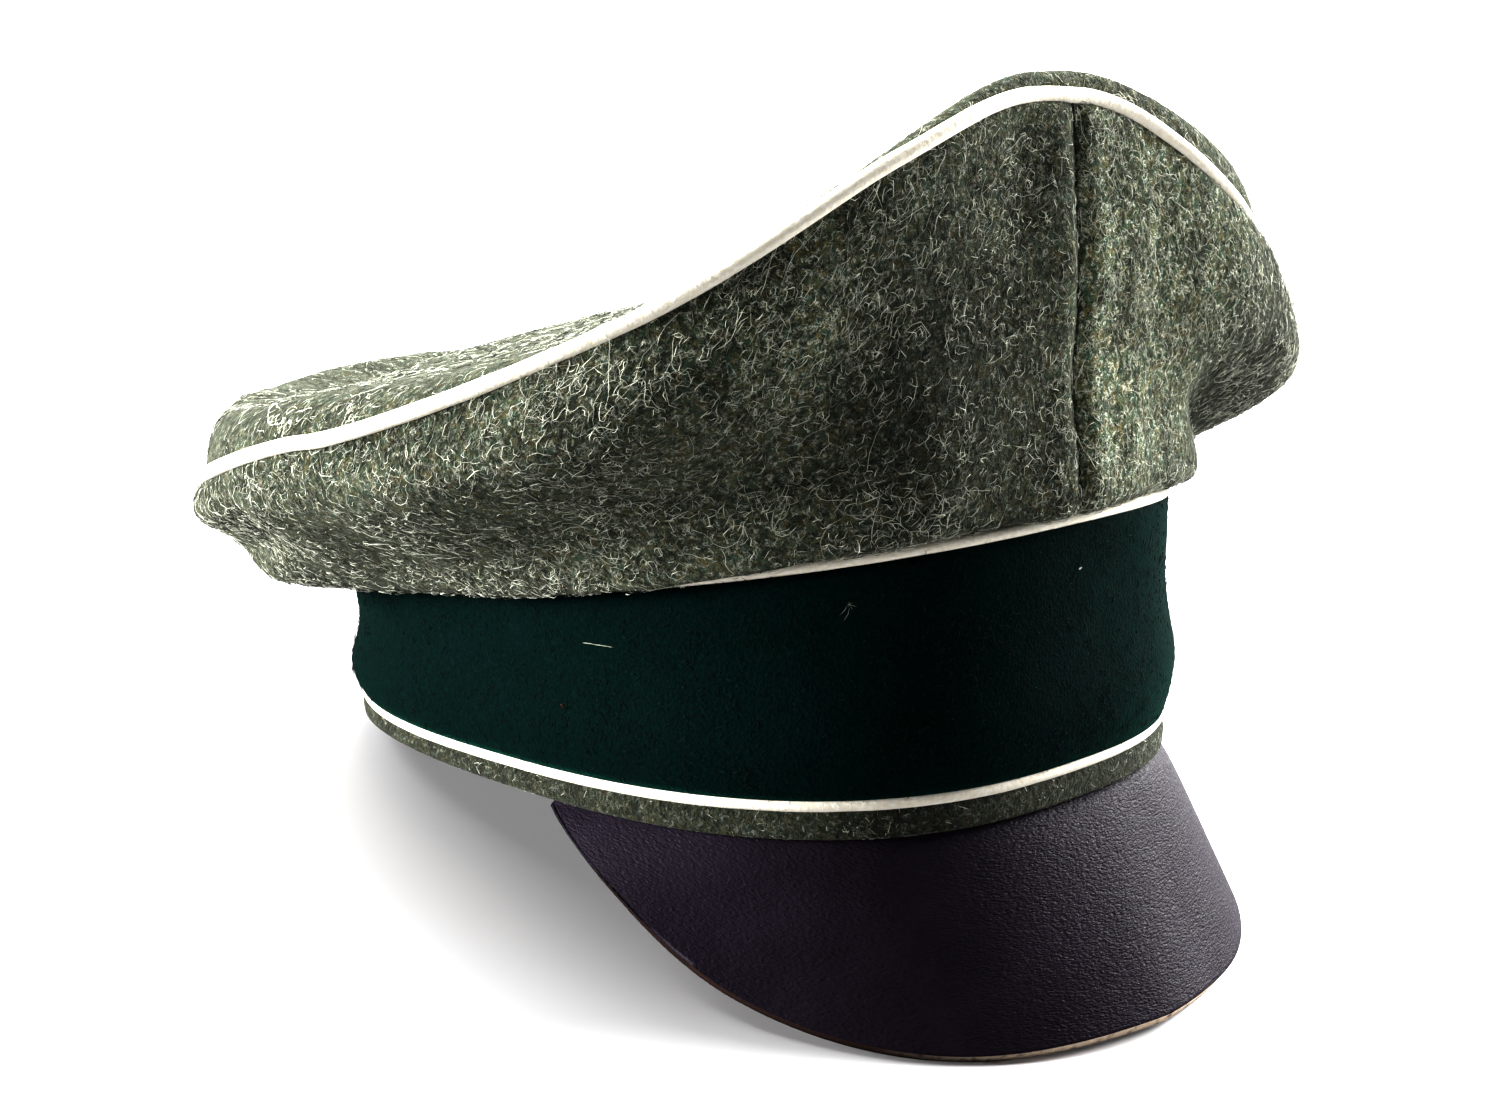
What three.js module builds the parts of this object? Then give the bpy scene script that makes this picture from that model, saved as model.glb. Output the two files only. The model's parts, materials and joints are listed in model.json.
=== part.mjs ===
// A peaked cap of wool cloth with a dark band, white piping and a black leather peak.
// Millimetres, +Z up. The front of the cap faces -Y and the wearer's right is -X.
// Angles run round the head in degrees, 0 at the front, positive towards the wearer's right.
// The cap is drawn level on its rim and then tipped back, as it rests on its peak and rear rim.
import * as THREE from 'three';

// The head line is the outer line of the rim, a rounded oval.
const HEAD_LINE = { halfLength: 103, halfWidth: 80.5, squareness: 2.53 };

// Seam allowance between neighbouring pieces.
const GAP = 0.3;

// How finely each piece is divided: round the head, and along its own profile.
const STEPS = { round: 60, crown: 14, top: 9, band: 5, peak: 4, peakRound: 40 };

const BAND = { thick: 2.5, sideHeight: 40, frontExtra: 15 };
const RIM_STRIP = { thick: 2.3, height: 7.8 };
const CROWN_CLOTH = 2.0;
const TOP_CLOTH = 2.0;

// Peak: it spans this angle to each side of the front, its lines spread less than the rim's own
// by the fan, and its sewn edge is tucked this far up inside the rim.
const PEAK = { thick: 2.2, halfAngle: 80, fan: 0.86, tuck: 6 };

// The crown's lower hem crosses the band's top piping between these two places.
const CROWN_HEM = { inside: -1.4, outside: 1.4, insideRise: 0.2, outsideRise: 0.3 };

// Half the angle left open at the crown's front and rear seams.
const SEAM_ANGLE = 0.12;

// Radius of each piping cord, and how far outside the head line its centre lies.
const LOWER_PIPING = { radius: 1.8, out: -1.5, sides: 6 };
const UPPER_PIPING = { radius: 1.5, out: -0.5, sides: 6 };
const CROWN_PIPING = { radius: 2.2, clear: 0.8, sides: 7 };

// Band: how far it stands outside the head line at each part of its height.
const BAND_PROFILE = [
  { part: 0.0, out: 0.2 },
  { part: 0.1, out: 1.8 },
  { part: 0.26, out: 2.8 },
  { part: 0.46, out: 1.2 },
  { part: 0.66, out: 0.3 },
  { part: 0.86, out: 0.7 },
  { part: 1.0, out: 0.9 },
];

// Rim strip: its outer face from the piping down to the rim.
const RIM_STRIP_PROFILE = [
  { out: -0.6, below: 0 },
  { out: 0.2, below: 1.8 },
  { out: 0, below: 5.7 },
];

// Crown: one row every 30 degrees. Each place is [out, rise]: how far outside the head line,
// and how high above the band's top edge. The roll hangs over the band, the waist is the hollow
// above it, the bulge is the fullest part, and the edge carries the piping. Puff is how high the
// top panel swells inside the piping.
const CROWN_ROWS = [
  { angle: -180, roll: [5, -2.5], waist: [22, 4], bulge: [33, 17], edge: [33, 27], puff: 19.5 },
  { angle: -150, roll: [5.5, -2.5], waist: [21, 4], bulge: [33, 17], edge: [34, 26], puff: 18 },
  { angle: -120, roll: [6, -2.5], waist: [20, 4], bulge: [38, 17], edge: [41, 26], puff: 17 },
  { angle: -90, roll: [7.5, -1], waist: [18, 8], bulge: [46, 22], edge: [46, 33], puff: 18 },
  { angle: -60, roll: [9.5, 2], waist: [14, 10], bulge: [43, 23], edge: [41, 38], puff: 20 },
  { angle: -30, roll: [6, 4], waist: [8, 22], bulge: [18, 43], edge: [15, 67], puff: 17 },
  { angle: 0, roll: [2.5, 5], waist: [1, 28], bulge: [1.5, 61], edge: [-1, 89.5], puff: 11.5 },
  { angle: 30, roll: [4.5, 3], waist: [8, 28], bulge: [9, 56], edge: [10, 81], puff: 5 },
  { angle: 60, roll: [6.5, 0.5], waist: [14, 16], bulge: [29, 39], edge: [32, 56], puff: 1 },
  { angle: 90, roll: [6.5, -2], waist: [18, 8], bulge: [43, 26], edge: [46, 38], puff: 6 },
  { angle: 120, roll: [6, -2.5], waist: [20, 3], bulge: [38, 17], edge: [39, 26], puff: 11.5 },
  { angle: 150, roll: [5.5, -2.5], waist: [21, 4], bulge: [32, 17], edge: [31.5, 26], puff: 16 },
];

// Soft folds in the crown's side: a dent is negative. Part runs from the band to the edge.
const FOLDS = [
  { angle: 11, spread: 5, part: 0.5, partSpread: 0.3, depth: -2.0 },
  { angle: -13, spread: 5, part: 0.5, partSpread: 0.3, depth: 1.5 },
  { angle: -40, spread: 9, part: 0.3, partSpread: 0.1, depth: -3.0 },
  { angle: 138, spread: 4, part: 0.6, partSpread: 0.3, depth: -2.5 },
];

// Top panel: its middle is this high above the rim and this far behind the head's centre, it
// rises towards the front by this slope, and its swell is fullest at the crest. Its cloth starts
// this far inside the crown piping, and its rings crowd towards that edge.
const TOP_PANEL = {
  middleRise: 95,
  middleBack: 24,
  slope: 0.17,
  crest: 0.075,
  setBack: 1.2,
  crowding: 1.7,
};

// Peak: its length down the middle and out to the corners, and its slope below level.
const PEAK_ROWS = [
  { part: 0, length: 51, slope: 59 },
  { part: 0.35, length: 46, slope: 65 },
  { part: 0.65, length: 33, slope: 64 },
  { part: 0.88, length: 12, slope: 47 },
  { part: 1, length: 0.8, slope: 44 },
];

const WOOL = { color: 0x5f665a, roughness: 0.95 };
const BAND_CLOTH = { color: 0x07342a, roughness: 0.95 };
const PIPING_CORD = { color: 0xe9e6dc, roughness: 0.9 };
const PEAK_LEATHER = { color: 0x14131a, roughness: 0.45 };

const radians = THREE.MathUtils.degToRad;

// Smooth value through rows: around is true for a column that closes on itself at 360 degrees.
function column(rows, place, read, at, around = false) {
  const count = rows.length;
  const turn = 360;
  const pick = (index) => {
    const wrapped = ((index % count) + count) % count;
    if (around) {
      const turns = Math.floor(index / count);
      return { at: rows[wrapped][place] + turn * turns, value: read(rows[wrapped]) };
    }
    const row = rows[Math.min(Math.max(index, 0), count - 1)];
    return { at: row[place], value: read(row) };
  };
  let low = 0;
  const last = around ? count - 1 : count - 2;
  while (low < last && at >= pick(low + 1).at) low += 1;
  const [before, start, end, after] = [pick(low - 1), pick(low), pick(low + 1), pick(low + 2)];
  const span = end.at - start.at;
  const part = (at - start.at) / span;
  const startSlope = (end.value - before.value) / (end.at - before.at);
  const endSlope = (after.value - start.value) / (after.at - start.at);
  const square = part * part;
  const cube = square * part;
  return (
    (2 * cube - 3 * square + 1) * start.value +
    (cube - 2 * square + part) * span * startSlope +
    (3 * square - 2 * cube) * end.value +
    (cube - square) * span * endSlope
  );
}

const signedPower = (value, power) => Math.sign(value) * Math.abs(value) ** power;

// Head line point in plan at an angle.
function headPoint(angle) {
  const power = 2 / HEAD_LINE.squareness;
  return new THREE.Vector2(
    -HEAD_LINE.halfWidth * signedPower(Math.sin(radians(angle)), power),
    -HEAD_LINE.halfLength * signedPower(Math.cos(radians(angle)), power),
  );
}

// Direction straight out of the head line in plan.
function headNormal(angle) {
  const step = 0.2;
  const along = headPoint(angle + step).sub(headPoint(angle - step)).normalize();
  return new THREE.Vector2(-along.y, along.x);
}

// Point a distance outside the head line, at a height.
function place(angle, out, height) {
  const plan = headPoint(angle).addScaledVector(headNormal(angle), out);
  return new THREE.Vector3(plan.x, plan.y, height);
}

const bandTop = (angle) => BAND.sideHeight + BAND.frontExtra * Math.cos(radians(angle));

const crown = (read, angle) => column(CROWN_ROWS, 'angle', read, ((angle + 540) % 360) - 180, true);

// Point of the crown named in its rows, at an angle.
function crownPoint(name, angle) {
  const out = crown((row) => row[name][0], angle);
  const rise = crown((row) => row[name][1], angle);
  return place(angle, out, bandTop(angle) + rise);
}

const crownEdge = (angle) => crownPoint('edge', angle);

// Evenly spaced values from start to end, both included.
function evenly(count, start, end) {
  return Array.from({ length: count + 1 }, (_, step) => start + ((end - start) * step) / count);
}

// Angles right round the head, the last one short of the first.
const allRound = () => evenly(STEPS.round, -180, 180).slice(0, -1);

// Outward normals of a grid of points: rows run round the head, columns along the profile.
function gridNormals(grid, closed) {
  const rows = grid.length;
  return grid.map((row, i) =>
    row.map((_, j) => {
      const before = closed ? grid[(i + rows - 1) % rows] : grid[Math.max(i - 1, 0)];
      const after = closed ? grid[(i + 1) % rows] : grid[Math.min(i + 1, rows - 1)];
      const round = after[j].clone().sub(before[j]);
      const along = row[Math.min(j + 1, row.length - 1)].clone().sub(row[Math.max(j - 1, 0)]);
      return along.cross(round).normalize();
    }),
  );
}

// Closed mesh from faces given as corner points: shared corners merge and flat faces drop out.
function solidGeometry(faces) {
  const index = new Map();
  const positions = [];
  const triangles = [];
  const vertex = (point) => {
    const key = [point.x, point.y, point.z].map((value) => Math.round(value * 1e4)).join(',');
    if (!index.has(key)) {
      index.set(key, positions.length / 3);
      positions.push(point.x, point.y, point.z);
    }
    return index.get(key);
  };
  for (const face of faces) {
    const corners = face.map(vertex);
    for (let k = 1; k + 1 < corners.length; k += 1) {
      const triangle = [corners[0], corners[k], corners[k + 1]];
      if (new Set(triangle).size === 3) triangles.push(...triangle);
    }
  }
  const geometry = new THREE.BufferGeometry();
  geometry.setAttribute('position', new THREE.Float32BufferAttribute(positions, 3));
  geometry.setIndex(volumeOf(positions, triangles) < 0 ? triangles.reverse() : triangles);
  geometry.computeVertexNormals();
  return geometry;
}

function volumeOf(positions, triangles) {
  const at = (corner) => new THREE.Vector3().fromArray(positions, corner * 3);
  let volume = 0;
  for (let k = 0; k < triangles.length; k += 3) {
    const [a, b, c] = [at(triangles[k]), at(triangles[k + 1]), at(triangles[k + 2])];
    volume += a.dot(b.cross(c)) / 6;
  }
  return volume;
}

// Wall between two grids of points, with its edges closed. A closed wall runs right round.
function wallGeometry(outer, inner, closed) {
  const faces = [];
  const rows = outer.length;
  const columns = outer[0].length;
  const runs = closed ? rows : rows - 1;
  for (let i = 0; i < runs; i += 1) {
    const next = (i + 1) % rows;
    for (let j = 0; j + 1 < columns; j += 1) {
      faces.push([outer[i][j], outer[next][j], outer[next][j + 1], outer[i][j + 1]]);
      faces.push([inner[i][j + 1], inner[next][j + 1], inner[next][j], inner[i][j]]);
    }
    faces.push([inner[i][0], inner[next][0], outer[next][0], outer[i][0]]);
    const end = columns - 1;
    faces.push([outer[i][end], outer[next][end], inner[next][end], inner[i][end]]);
  }
  if (!closed) {
    for (let j = 0; j + 1 < columns; j += 1) {
      faces.push([outer[0][j], outer[0][j + 1], inner[0][j + 1], inner[0][j]]);
      const last = rows - 1;
      faces.push([inner[last][j], inner[last][j + 1], outer[last][j + 1], outer[last][j]]);
    }
  }
  return solidGeometry(faces);
}

// The inner grid of a cloth wall: each outer point moved in by the cloth's thickness.
function clothBehind(grid, thick, closed, facing) {
  const normals = gridNormals(grid, closed);
  return grid.map((row, i) => row.map((point, j) => point.clone().addScaledVector(normals[i][j], -thick * facing)));
}

// Ring of a cord with a round section along a closed path of points.
function cordGeometry(path, radius, sides) {
  const count = path.length;
  const rings = path.map((point, i) => {
    const along = path[(i + 1) % count].clone().sub(path[(i + count - 1) % count]).normalize();
    const side = along.clone().cross(new THREE.Vector3(0, 0, 1)).normalize();
    const up = side.clone().cross(along);
    return Array.from({ length: sides }, (_, k) => {
      const turn = (2 * Math.PI * k) / sides;
      return point
        .clone()
        .addScaledVector(side, radius * Math.cos(turn))
        .addScaledVector(up, radius * Math.sin(turn));
    });
  });
  const faces = [];
  rings.forEach((ring, i) => {
    const next = rings[(i + 1) % count];
    ring.forEach((point, k) => {
      const after = (k + 1) % sides;
      faces.push([point, next[k], next[after], ring[after]]);
    });
  });
  return solidGeometry(faces);
}

function namedMesh(name, geometry, finish) {
  const mesh = new THREE.Mesh(geometry, new THREE.MeshStandardMaterial({ ...finish, metalness: 0 }));
  mesh.name = name;
  return mesh;
}

function foldDepth(angle, part) {
  return FOLDS.reduce((sum, fold) => {
    const across = (angle - fold.angle) / fold.spread;
    const along = (part - fold.part) / fold.partSpread;
    return sum + fold.depth * Math.exp(-across * across - along * along);
  }, 0);
}

// Profile of the crown's side at an angle, from the band's top piping up to the crown piping.
function crownProfile(angle, steps) {
  const base = bandTop(angle);
  const point = (out, rise) => place(angle, out, base + rise);
  const overPiping = UPPER_PIPING.radius + GAP;
  const edge = crownEdge(angle);
  const bulge = crownPoint('bulge', angle);
  const towardsEdge = edge.clone().sub(bulge).normalize();
  const curve = new THREE.CatmullRomCurve3([
    point(CROWN_HEM.inside, overPiping + CROWN_HEM.insideRise),
    point(CROWN_HEM.outside, overPiping + CROWN_HEM.outsideRise),
    crownPoint('roll', angle),
    crownPoint('waist', angle),
    bulge,
    edge.clone().addScaledVector(towardsEdge, -(CROWN_PIPING.radius + CROWN_PIPING.clear)),
  ]);
  const normal = headNormal(angle);
  return curve.getPoints(steps).map((spot, index) => {
    const depth = foldDepth(angle, index / steps) * Math.sin((Math.PI * index) / steps);
    return spot.add(new THREE.Vector3(normal.x * depth, normal.y * depth, 0));
  });
}

// Side panel of the crown between the front seam and the rear seam.
function crownSide(name, side) {
  const angles = evenly(STEPS.round / 2, SEAM_ANGLE, 180 - SEAM_ANGLE).map((angle) => angle * side);
  const outer = angles.map((angle) => crownProfile(angle, STEPS.crown));
  const inner = clothBehind(outer, CROWN_CLOTH, false, side);
  return namedMesh(name, wallGeometry(outer, inner, false), WOOL);
}

// Outer point of the top panel at an angle, from the crown piping (part 0) to its middle (part 1).
// Its cloth begins at the part called start.
function topPoint(angle, part, start) {
  const rim = crownEdge(angle);
  const rest = 1 - part;
  const tilt = TOP_PANEL.slope * (TOP_PANEL.middleBack - rim.y);
  const bend = rim.z - TOP_PANEL.middleRise - tilt;
  const inward = (part - start) / TOP_PANEL.crest;
  const crest = rest * inward * Math.exp(1 - inward);
  const swell = crown((row) => row.puff, angle) * crest;
  const height = TOP_PANEL.middleRise + tilt * rest + bend * rest * rest + swell;
  return new THREE.Vector3(rim.x * rest, rim.y * rest + TOP_PANEL.middleBack * part, height);
}

function crownTop() {
  const rings = STEPS.top;
  const angles = allRound();
  const outer = angles.map((angle) => {
    const rim = crownEdge(angle);
    const start = (CROWN_PIPING.radius + TOP_PANEL.setBack) / Math.hypot(rim.x, rim.y);
    return Array.from({ length: rings + 1 }, (_, step) => {
      const part = start + (1 - start) * (step / rings) ** TOP_PANEL.crowding;
      return topPoint(angle, part, start);
    });
  });
  const inner = clothBehind(outer, TOP_CLOTH, true, 1);
  const middle = outer[0][rings].clone();
  middle.z -= TOP_CLOTH;
  inner.forEach((row) => row[rings].copy(middle));
  return namedMesh('crown_top', wallGeometry(outer, inner, true), WOOL);
}

function crownPiping() {
  const path = allRound().map(crownEdge);
  return namedMesh('crown_piping', cordGeometry(path, CROWN_PIPING.radius, CROWN_PIPING.sides), PIPING_CORD);
}

function bandPiping(name, piping, height) {
  const path = allRound().map((angle) => place(angle, piping.out, height(angle)));
  return namedMesh(name, cordGeometry(path, piping.radius, piping.sides), PIPING_CORD);
}

function band() {
  const face = (inward) =>
    allRound().map((angle) => {
      const low = LOWER_PIPING.radius + GAP;
      const high = bandTop(angle) - UPPER_PIPING.radius - GAP;
      return evenly(STEPS.band, 0, 1).map((part) => {
        const out = column(BAND_PROFILE, 'part', (row) => row.out, part);
        return place(angle, out - inward, low + (high - low) * part);
      });
    });
  return namedMesh('band', wallGeometry(face(0), face(BAND.thick), true), BAND_CLOTH);
}

// Narrow cloth strip that binds the rim under the lower piping.
function rimStrip() {
  const angles = allRound();
  const top = -(LOWER_PIPING.radius + GAP);
  const outer = angles.map((angle) => RIM_STRIP_PROFILE.map(({ out, below }) => place(angle, out, top - below)));
  const inner = outer.map((row, i) => row.map((point) => place(angles[i], -RIM_STRIP.thick, point.z)));
  return namedMesh('rim_strip', wallGeometry(outer, inner, true), WOOL);
}

// Upper face of the peak at a part of its half width: tucked up inside the rim, then sloping out.
function peakProfile(part, steps) {
  const angle = part * PEAK.halfAngle;
  const from = Math.abs(part);
  const length = column(PEAK_ROWS, 'part', (row) => row.length, from);
  const slope = radians(column(PEAK_ROWS, 'part', (row) => row.slope, from));
  const root = place(angle, 0, -RIM_STRIP.height - GAP);
  const normal = headNormal(angle);
  const heading = Math.atan2(-normal.x, -normal.y) * PEAK.fan;
  const outward = new THREE.Vector3(
    -Math.sin(heading) * Math.cos(slope),
    -Math.cos(heading) * Math.cos(slope),
    -Math.sin(slope),
  );
  const tucked = [PEAK.tuck, -GAP].map((rise) => place(angle, -RIM_STRIP.thick - GAP, -RIM_STRIP.height + rise));
  const sloping = evenly(steps, 0, 1).map((along) => root.clone().addScaledVector(outward, length * along));
  return [...tucked, ...sloping];
}

// Upper and lower faces of the peak, from its right corner to its left one.
const peakUpper = evenly(STEPS.peakRound, -1, 1).map((part) => peakProfile(part, STEPS.peak));
const peakLower = clothBehind(peakUpper, PEAK.thick, false, -1);

const peak = () => namedMesh('peak', wallGeometry(peakUpper, peakLower, false), PEAK_LEATHER);

// Tip of the cap about its rear rim until the peak's lowest edge meets the same level.
function restPitch() {
  const rear = { y: HEAD_LINE.halfLength, z: -RIM_STRIP.height };
  const edge = [...peakUpper, ...peakLower].map((row) => row.at(-1));
  return Math.max(...edge.map((point) => Math.atan2(rear.z - point.z, rear.y - point.y)));
}

const cap = new THREE.Group();
cap.add(
  crownSide('crown_side_right', 1),
  crownSide('crown_side_left', -1),
  crownTop(),
  crownPiping(),
  bandPiping('band_top_piping', UPPER_PIPING, bandTop),
  band(),
  bandPiping('band_bottom_piping', LOWER_PIPING, () => 0),
  rimStrip(),
  peak(),
);
cap.rotation.x = -restPitch();

// Stand the tipped cap on z = 0 with the middle of its box over the origin.
const box = new THREE.Box3().setFromObject(cap, true);
const middle = box.getCenter(new THREE.Vector3());
cap.position.set(-middle.x, -middle.y, -box.min.z);

const group = new THREE.Group();
group.add(cap);
export default group;
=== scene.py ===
"""A wool peaked cap with a dark cloth band, white piping and a black leather peak, as an add-on."""
import json
import math

import bmesh
import bpy
import numpy as np
from bpy.props import FloatProperty, FloatVectorProperty, IntProperty, PointerProperty
from mathutils import Euler, Matrix, Vector, noise


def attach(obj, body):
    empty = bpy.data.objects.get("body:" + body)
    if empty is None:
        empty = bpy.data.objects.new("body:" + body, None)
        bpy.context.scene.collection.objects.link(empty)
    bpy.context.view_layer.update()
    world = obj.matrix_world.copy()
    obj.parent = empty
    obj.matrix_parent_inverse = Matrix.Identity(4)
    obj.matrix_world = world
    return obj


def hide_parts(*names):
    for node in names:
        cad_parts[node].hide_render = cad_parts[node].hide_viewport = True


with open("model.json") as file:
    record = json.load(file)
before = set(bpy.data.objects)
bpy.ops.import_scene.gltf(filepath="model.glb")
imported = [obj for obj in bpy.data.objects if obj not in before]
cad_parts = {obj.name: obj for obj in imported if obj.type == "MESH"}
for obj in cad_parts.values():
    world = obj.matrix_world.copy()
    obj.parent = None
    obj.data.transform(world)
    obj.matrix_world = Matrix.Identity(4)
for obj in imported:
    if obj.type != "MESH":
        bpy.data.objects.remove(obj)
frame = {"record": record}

bl_info = {
    "name": "Peaked cap",
    "version": (1, 0, 0),
    "blender": (4, 5, 0),
    "location": "3D View > Sidebar > Cap",
    "description": "Builds a wool peaked cap with a cloth band, piping cords and a leather peak",
    "category": "Add Mesh",
}


def table(columns, rows):
    """Rows of values under named columns."""
    return [dict(zip(columns, row)) for row in rows]


# The cap is drawn level on its rim in millimetres, front towards -Y, and then laid down as it
# rests. Angles run round the head in degrees, 0 at the front, positive to the wearer's right.
MILLIMETRE = 0.001
HEAD_LINE = {"half_length": 103.0, "half_width": 80.5, "squareness": 2.53}
BAND = {"thick": 2.5, "side_height": 40.0, "front_extra": 15.0}
# The rim strip is narrower at the sides than in front and behind.
RIM_STRIP = {
    "thick": 2.3, "height": 7.8, "roundness": 1.0,
    "side_rise": 2.4, "side_angle": 112.0, "side_spread": 34.0,
}
LOWER_PIPING = {"radius": 1.8, "out": -1.5}
UPPER_PIPING = {"radius": 1.5, "out": -0.5}
# The side's and the top's cloth reach in beside the crown's piping by parts of its radius.
CROWN_PIPING = {"radius": 1.65, "side_tuck": 0.7, "top_tuck": 0.75}
# A cord's thickness varies by this part of it, over this many millimetres.
CORD_LUMPS = {"part": 0.05, "size": 9}
# The crown's cloth swells on both sides of its piping, most where the top panel stands high.
SHOULDER = {"back": 3.4, "out": 0.2, "overhang": 0.14, "spot": 0.6}
# At the wearer's left the side's cloth swells past its piping and hides it from the front.
LEFT_SWELL = {"angle": -58.0, "spread": 24.0, "out": 4.4}
# The front seam leans: its foot stands this far to the wearer's right of the middle.
SEAM_LEAN = {"foot": 4.6, "spread": 30.0}
CROWN_HEM = {"inside": -1.4, "outside": 1.4, "inside_rise": 2.0, "outside_rise": 2.1}
TOP_PANEL = {"middle_rise": 95.0, "middle_back": 24.0, "slope": 0.17, "crest": 0.075, "crowding": 1.25}
PEAK = {
    "thick": 2.2, "half_angle": 84.0, "fan": 0.86, "tuck": 6.0, "tuck_foot": 1.0, "bevel": 1.0,
    "crowding": 1.15,
}
# The peak leaves the cap from behind the strip: how far in it starts, and how soon it comes out.
PEAK_ROOT = {"in": 1.9, "up": 0.5, "reach": 3.5}
# A shallow flute down the peak, just to the wearer's left of the middle.
PEAK_FLUTE = {"part": -0.115, "spread": 0.055, "depth": 0.38, "fades_in": 6}
CLOTH_THICKNESS = 2.0
GAP = 0.3
# A seam draws the cloth in and leaves a low ridge beside it. Panels stop short of the seam by a
# small angle, and their grid's rows crowd towards it.
SEAM = {
    "half_width": 1.15, "ridge": 0.45, "ridge_away": 3.8, "ridge_width": 2.4,
    "short": 0.12, "crowding": 0.13,
}
MILLIMETRES_PER_DEGREE = 1.7
# Cloth reaches this part of a cord's radius in from its middle line.
TUCKED_UNDER_CORD = 0.6
# How many points each grid has round the head and along its profile.
GRID_POINTS = {
    "side": (200, 58), "top": (300, 46), "band": (300, 27),
    "rim": (360, 7), "peak": (151, 34), "cord": (480, 14),
}
# Each cloth's own lumps, and how soon they set in from its edge. The two side panels share
# theirs, so that they meet at their seams.
LUMPS = {
    "side": {"seed": 3, "sets_in": 9},
    "top": {"seed": 21, "sets_in": 14},
    "band": {"seed": 41, "sets_in": 6},
}

# Band: how far it stands outside the head line at each part of its height.
BAND_PROFILE = table(("part", "out"), [
    (0.0, 0.2),
    (0.1, 1.8),
    (0.26, 2.8),
    (0.46, 1.2),
    (0.66, 0.3),
    (0.86, 0.7),
    (1.0, 0.9),
])

# Rim strip: how far its face stands out, down to where it rounds into the rim.
RIM_FACE = table(("part", "out"), [(0.0, -0.6), (0.2, 0.0), (0.45, 0.25)])

# Crown: each place is (out, rise), how far outside the head line and how high above the band's
# top edge. Puff is how high the top panel swells inside the piping.
CROWN_ROWS = table(("angle", "roll", "waist", "bulge", "edge", "puff"), [
    (-180, (5, -2.5), (22, 4), (33, 17), (33, 27), 19.5),
    (-150, (5.5, -2.5), (21, 4), (33, 17), (34, 26), 18),
    (-120, (6, -2.5), (20, 4), (38, 17), (41, 26), 17),
    (-90, (7.5, -1), (19, 7), (47, 21), (43, 33.5), 17),
    (-60, (9.5, 2), (16, 8.5), (43.5, 21.5), (37.5, 38), 19),
    (-30, (6, 4), (8, 22), (18, 43), (15, 67), 17),
    (0, (1.5, 5), (-0.8, 28), (0.3, 61), (-1, 89.5), 11.5),
    (30, (4.5, 3), (8, 28), (9.3, 54), (10, 81), 5),
    (60, (6.5, 0.9), (14, 16), (38, 36), (32, 56), 1),
    (90, (6.5, -1.0), (18, 8), (45, 25), (46, 38), 6),
    (120, (6, -0.5), (20, 3), (38, 17), (37.5, 28), 11.5),
    (150, (5.5, -0.7), (21, 4), (32, 17), (30.5, 28), 16),
])

# Soft folds in the crown's side: a dent is negative. Part runs from the band to the edge.
FOLDS = table(("angle", "spread", "part", "part_spread", "depth"), [
    (0, 11, 0.5, 0.5, 3.6),
    (8, 5, 0.74, 0.13, -2.2),
    (-9, 4, 0.55, 0.25, 1.4),
    (-42, 13, 0.52, 0.08, -6.5),
    (-54, 13, 0.69, 0.1, 2.4),
    (105, 3.5, 0.66, 0.08, -3.0),
    (116, 12.0, 0.6, 0.055, -8.0),
    (120, 14.0, 0.45, 0.09, 4.0),
    (119, 9.0, 0.78, 0.1, 2.0),
    (62, 16, 0.58, 0.16, -1.6),
    (-120, 10, 0.62, 0.2, -2.0),
])

# Peak: its length down the middle and out to the corners, and its slope below level.
PEAK_ROWS = table(("part", "length", "slope"), [
    (0.0, 51, 59),
    (0.35, 46, 65),
    (0.65, 33, 64),
    (0.88, 12.6, 47),
    (1.0, 0.8, 44),
])

# Unevenness of soft cloth: the size of each kind of lump and how deep it is.
CLOTH_LUMPS = table(("size", "depth"), [
    (36.0, 1.1),
    (13.0, 0.35),
    (5.0, 0.16),
])

# The camera stands at the photograph's viewing angle, in the frame of the resting cap.
CAMERA = {
    "place": (-0.40273, -0.38479, 0.26017), "turn": (70.254, -6.5175, -43.904), "lens": 57.6, "reach": 50,
}

# Each soft light: where it stands, its size, its power and whether the floor gets its light.
LIGHT_TARGET = (0, 0, 0.08)
LIGHTS = table(("name", "place", "size", "power", "reaches_floor"), [
    ("light_right", (1.40, -0.28, 0.7), (0.9, 0.9), 120, True),
    ("light_left", (-1.12, 0.92, 0.22), (0.9, 0.3), 50, True),
    ("light_left_cap", (-1.12, 0.92, 0.22), (0.9, 0.3), 50, False),
    ("light_rear_right", (1.35, 0.6, 0.6), (1.2, 1.2), 60, True),
])
# The overhead light is as wide as a ceiling and stands to the rear. The studio is dim behind the
# camera. The floor is bright to look at and throws back less light.
STUDIO = {
    "overhead": 10.0, "spread": 75.0, "overhead_turn": (-38, 12, 0),
    "fill": 0.04, "floor_reach": 6.0, "floor_bounce": 0.42, "gamma": 0.78,
}
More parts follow.
